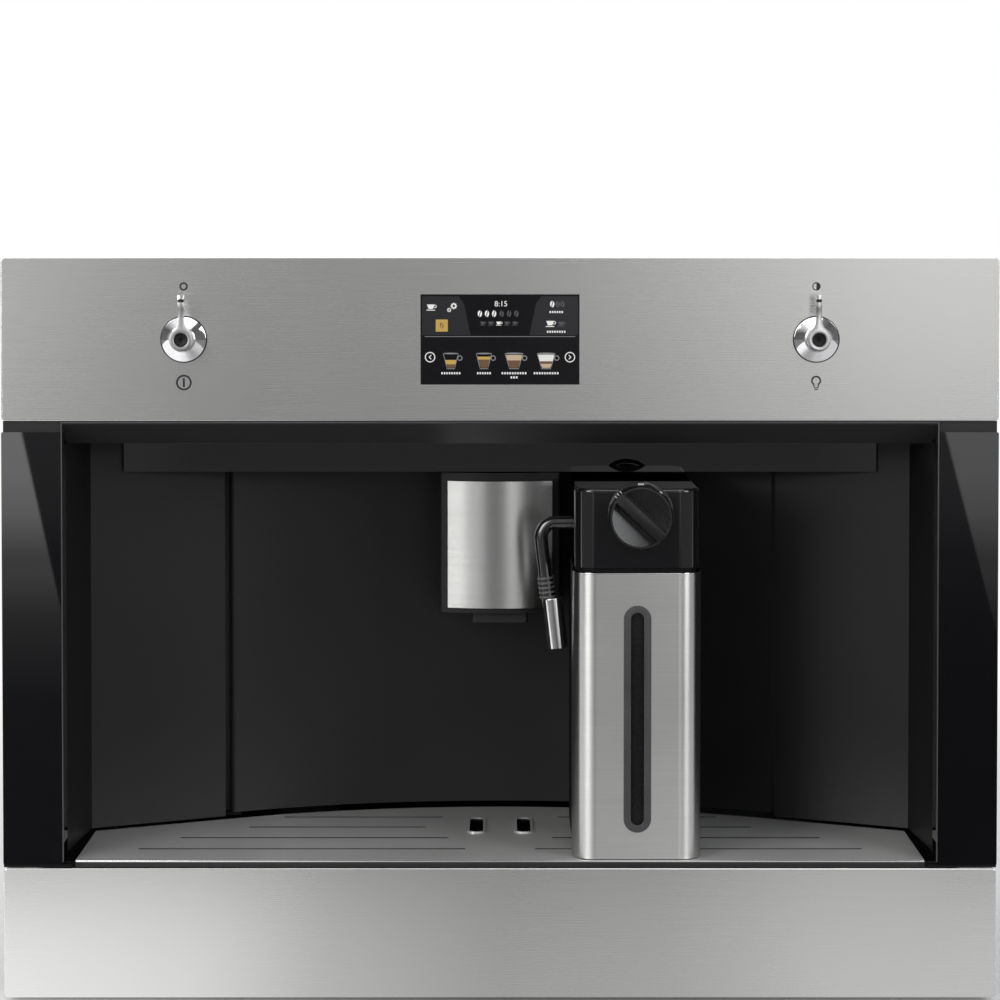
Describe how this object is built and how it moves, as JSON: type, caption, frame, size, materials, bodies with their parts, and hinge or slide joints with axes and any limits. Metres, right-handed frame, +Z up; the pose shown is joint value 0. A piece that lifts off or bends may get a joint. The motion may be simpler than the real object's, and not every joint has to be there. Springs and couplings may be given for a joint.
{
  "type": "built in coffee machine",
  "caption": "Built-in coffee machine on pull-out rails, with cup recess, height-adjustable spout, milk jug, drip drawer, levers and touch display.",
  "frame": {"origin": "centre of the footprint, on the floor of the cabinet niche", "axes": "+Z up, +Y into the cabinet, the front faces -Y, +X to the right seen from the front"},
  "size_m": [0.597, 0.3788, 0.4485],
  "materials": {
    "steel_front": "satin, fine horizontal brush",
    "steel_brushed": "satin",
    "steel_grid": "dark satin",
    "chrome": "polished",
    "galvanised": "zinc coated sheet",
    "gloss_black": "piano black",
    "satin_black": "satin moulded",
    "matte_black": "moulded",
    "rubber": "soft",
    "display": "glossy",
    "clear": "smoked clear",
    "window": "glossy",
    "lamp": "diffuser",
    "brass": "machined",
    "aluminium": "cast",
    "board": "coated",
    "hose": "silicone"
  },
  "bodies": {
    "rails": {"fixed_rails": "galvanised"},
    "middle_rails": {"middle_rails": "galvanised"},
    "machine": {"inner_rails": "galvanised", "chassis_base": "galvanised", "side_plates": "galvanised", "back_cover": "galvanised", "top_cover": "galvanised", "screws": "chrome", "service_shelf": "galvanised", "upper_fascia": "steel_front", "side_columns": "gloss_black", "visor": "satin_black", "recess_walls": "satin_black", "recess_ceiling": "satin_black", "reveal_plate": "gloss_black", "upper_deck": "satin_black", "hinge_pins": "chrome", "light_bar": "lamp", "lever_bases": "chrome", "rotary_switches": "matte_black", "display_glass": "display", "circuit_boards": "board", "bean_hopper": "clear", "grinder_motor": "aluminium", "grinder_body": "matte_black", "tank_seat": "matte_black", "brew_frame": "matte_black", "gear_motor": "matte_black", "boilers": "brass", "pump": "matte_black", "hoses": "hose", "power_inlet": "matte_black"},
    "left_lever": {"left_lever": "chrome"},
    "right_lever": {"right_lever": "chrome"},
    "door": {"service_door": "satin_black", "steam_port": "matte_black"},
    "spout": {"spout_shell": "gloss_black", "spout_cover": "steel_brushed", "spout_nozzles": "matte_black"},
    "jug": {"jug_body": "gloss_black", "jug_sleeve": "steel_brushed", "jug_window": "window", "jug_lid": "gloss_black"},
    "froth_dial": {"froth_dial": "gloss_black"},
    "milk_spout": {"milk_pipe": "rubber", "milk_nozzle": "chrome"},
    "drawer": {"drawer_front": "steel_front", "drawer_frame": "galvanised", "drip_basin": "matte_black", "drip_grid": "steel_grid", "grounds_container": "matte_black"},
    "float": {"float": "matte_black"},
    "hopper_lid": {"hopper_lid": "matte_black"},
    "tank": {"water_tank": "clear"},
    "tank_lid": {"tank_lid": "matte_black"},
    "grind_dial": {"grind_dial": "matte_black"},
    "lower_burr": {"lower_burr": "steel_brushed"},
    "brew_chamber": {"brew_chamber": "matte_black"},
    "brew_spindle": {"brew_spindle": "steel_brushed"}
  },
  "joints": [
    {"name": "machine_slide", "type": "slide", "parent": "rails", "child": "machine", "axis": [0, -1, 0], "range_m": [0, 0.3]},
    {"name": "middle_rail_slide", "type": "slide", "parent": "rails", "child": "middle_rails", "axis": [0, -1, 0], "range_m": [0, 0.15]},
    {"name": "left_lever_turn", "type": "hinge", "parent": "machine", "child": "left_lever", "pos_m": [-0.189, -0.17205, 0.3995], "axis": [0, 1, 0], "range_deg": [0, 90]},
    {"name": "right_lever_turn", "type": "hinge", "parent": "machine", "child": "right_lever", "pos_m": [0.189, -0.17205, 0.3995], "axis": [0, 1, 0], "range_deg": [0, 90]},
    {"name": "door_swing", "type": "hinge", "parent": "machine", "child": "door", "pos_m": [-0.1708, -0.03611, 0.0894], "axis": [0, 0, -1], "range_deg": [0, 90]},
    {"name": "spout_height", "type": "slide", "parent": "door", "child": "spout", "axis": [0, 0, -1], "range_m": [0, 0.045]},
    {"name": "jug_pull", "type": "slide", "parent": "door", "child": "jug", "axis": [0, -1, 0], "range_m": [0, 0.12]},
    {"name": "froth_dial_turn", "type": "hinge", "parent": "jug", "child": "froth_dial", "pos_m": [0.0844, -0.17005, 0.2924], "axis": [0, 1, 0], "range_deg": [-90, 90]},
    {"name": "milk_spout_swing", "type": "hinge", "parent": "jug", "child": "milk_spout", "pos_m": [0.04485, -0.12205, 0.2853], "axis": [1, 0, 0], "range_deg": [-60, 15]},
    {"name": "drawer_slide", "type": "slide", "parent": "machine", "child": "drawer", "axis": [0, -1, 0], "range_m": [0, 0.25]},
    {"name": "float_rise", "type": "slide", "parent": "drawer", "child": "float", "axis": [0, 0, 1], "range_m": [0, 0.01]},
    {"name": "hopper_lid_swing", "type": "hinge", "parent": "machine", "child": "hopper_lid", "pos_m": [-0.195, 0.17125, 0.4441], "axis": [-1, 0, 0], "range_deg": [0, 95]},
    {"name": "tank_lift", "type": "slide", "parent": "machine", "child": "tank", "axis": [0, 0, 1], "range_m": [0, 0.2]},
    {"name": "tank_lid_swing", "type": "hinge", "parent": "tank", "child": "tank_lid", "pos_m": [0.21, 0.17625, 0.4441], "axis": [-1, 0, 0], "range_deg": [0, 95]},
    {"name": "grind_dial_turn", "type": "hinge", "parent": "machine", "child": "grind_dial", "pos_m": [-0.195, 0.09295, 0.292], "axis": [0, 1, 0], "range_deg": [-135, 135]},
    {"name": "burr_spin", "type": "hinge", "parent": "machine", "child": "lower_burr", "pos_m": [-0.195, 0.09295, 0.2415], "axis": [0, 0, 1], "continuous": true},
    {"name": "brew_lift", "type": "slide", "parent": "machine", "child": "brew_chamber", "axis": [0, 0, 1], "range_m": [0, 0.04]},
    {"name": "spindle_turn", "type": "hinge", "parent": "machine", "child": "brew_spindle", "pos_m": [0, 0.11195, 0.26], "axis": [0, 0, 1], "range_deg": [0, 1442]}
  ],
  "couplings": [
    {"joint": "middle_rail_slide", "follows": "machine_slide", "ratio": 0.5},
    {"joint": "spindle_turn", "follows": "brew_lift", "rad_per_m": 628.32}
  ]
}
